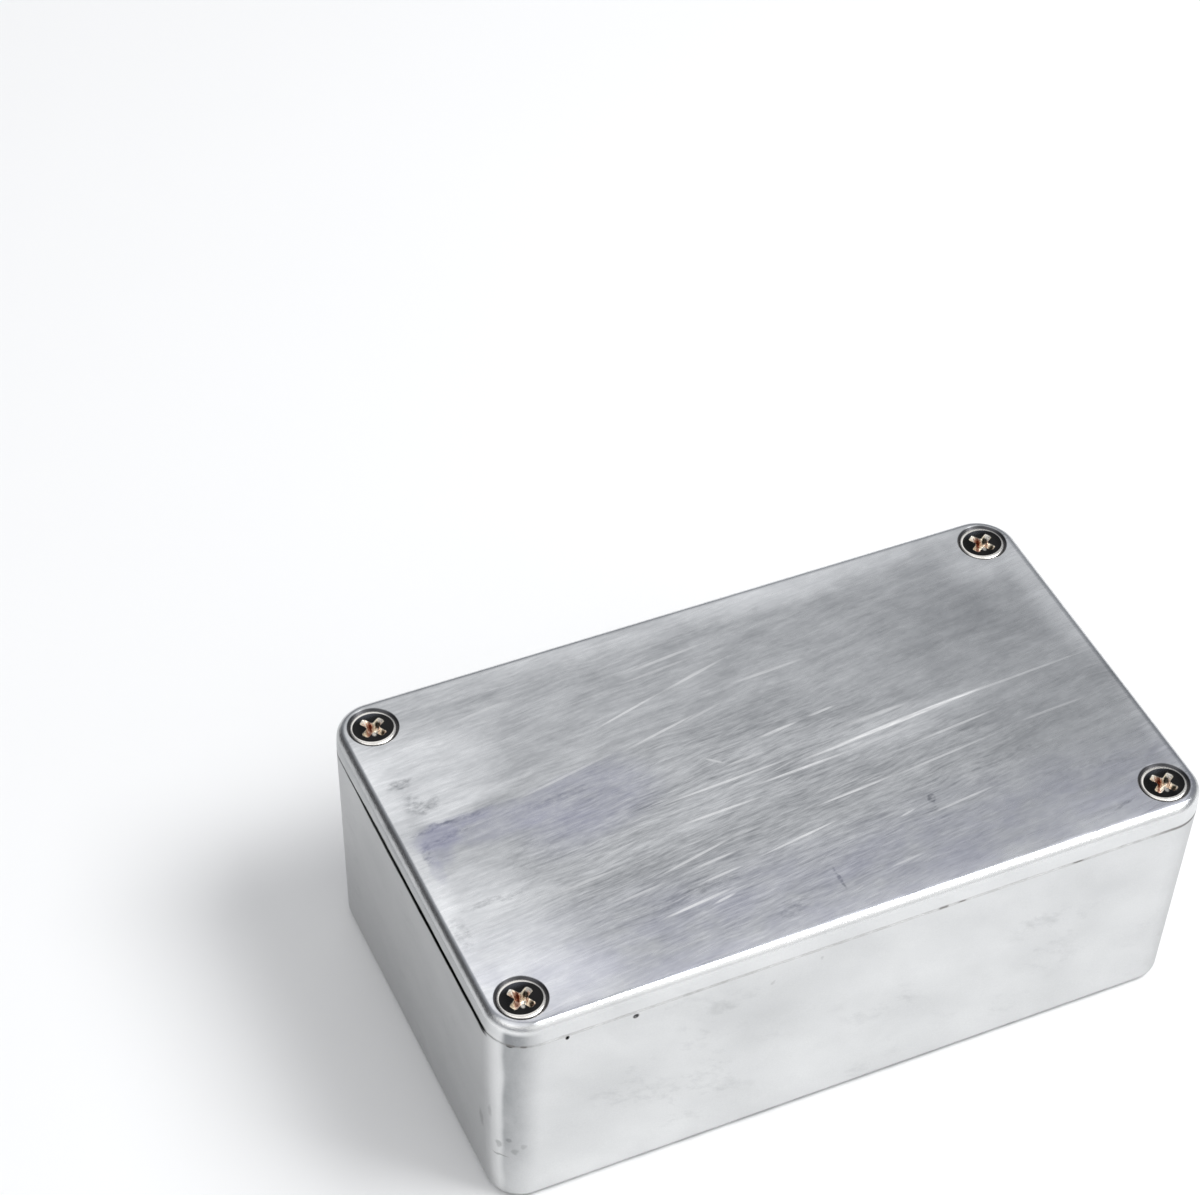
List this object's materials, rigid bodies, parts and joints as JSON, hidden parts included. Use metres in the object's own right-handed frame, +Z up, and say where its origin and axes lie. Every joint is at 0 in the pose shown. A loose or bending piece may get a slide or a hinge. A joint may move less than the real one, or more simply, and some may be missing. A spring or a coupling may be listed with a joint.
{
  "type": "die cast aluminium box",
  "caption": "Rectangular die cast metal enclosure: a deep drafted base and a shallow lid that screws down at its corners, to house a small circuit.",
  "frame": {"origin": "middle of the underside", "axes": "+X along the length, towards the right; +Y across the width, towards the back; +Z up, out through the lid"},
  "size_m": [0.115, 0.067, 0.041],
  "materials": {
    "base": "as cast, softly mottled",
    "lid": "brushed along its length, scratched and stained",
    "screw": "dark plated, worn bright at the rim and the recess"
  },
  "bodies": {
    "base": {"base": "base"},
    "lid": {"lid": "lid"},
    "screw_front_left": {"screw_front_left": "screw"},
    "screw_front_right": {"screw_front_right": "screw"},
    "screw_back_left": {"screw_back_left": "screw"},
    "screw_back_right": {"screw_back_right": "screw"}
  },
  "joints": [
    {"name": "lid_lift", "type": "slide", "parent": "base", "child": "lid", "axis": [0, 0, 1], "range_m": [0, 0.045]},
    {"name": "screw_front_left_out", "type": "slide", "parent": "lid", "child": "screw_front_left", "axis": [0, 0, 1], "range_m": [0, 0.014]},
    {"name": "screw_front_right_out", "type": "slide", "parent": "lid", "child": "screw_front_right", "axis": [0, 0, 1], "range_m": [0, 0.014]},
    {"name": "screw_back_left_out", "type": "slide", "parent": "lid", "child": "screw_back_left", "axis": [0, 0, 1], "range_m": [0, 0.014]},
    {"name": "screw_back_right_out", "type": "slide", "parent": "lid", "child": "screw_back_right", "axis": [0, 0, 1], "range_m": [0, 0.014]}
  ]
}
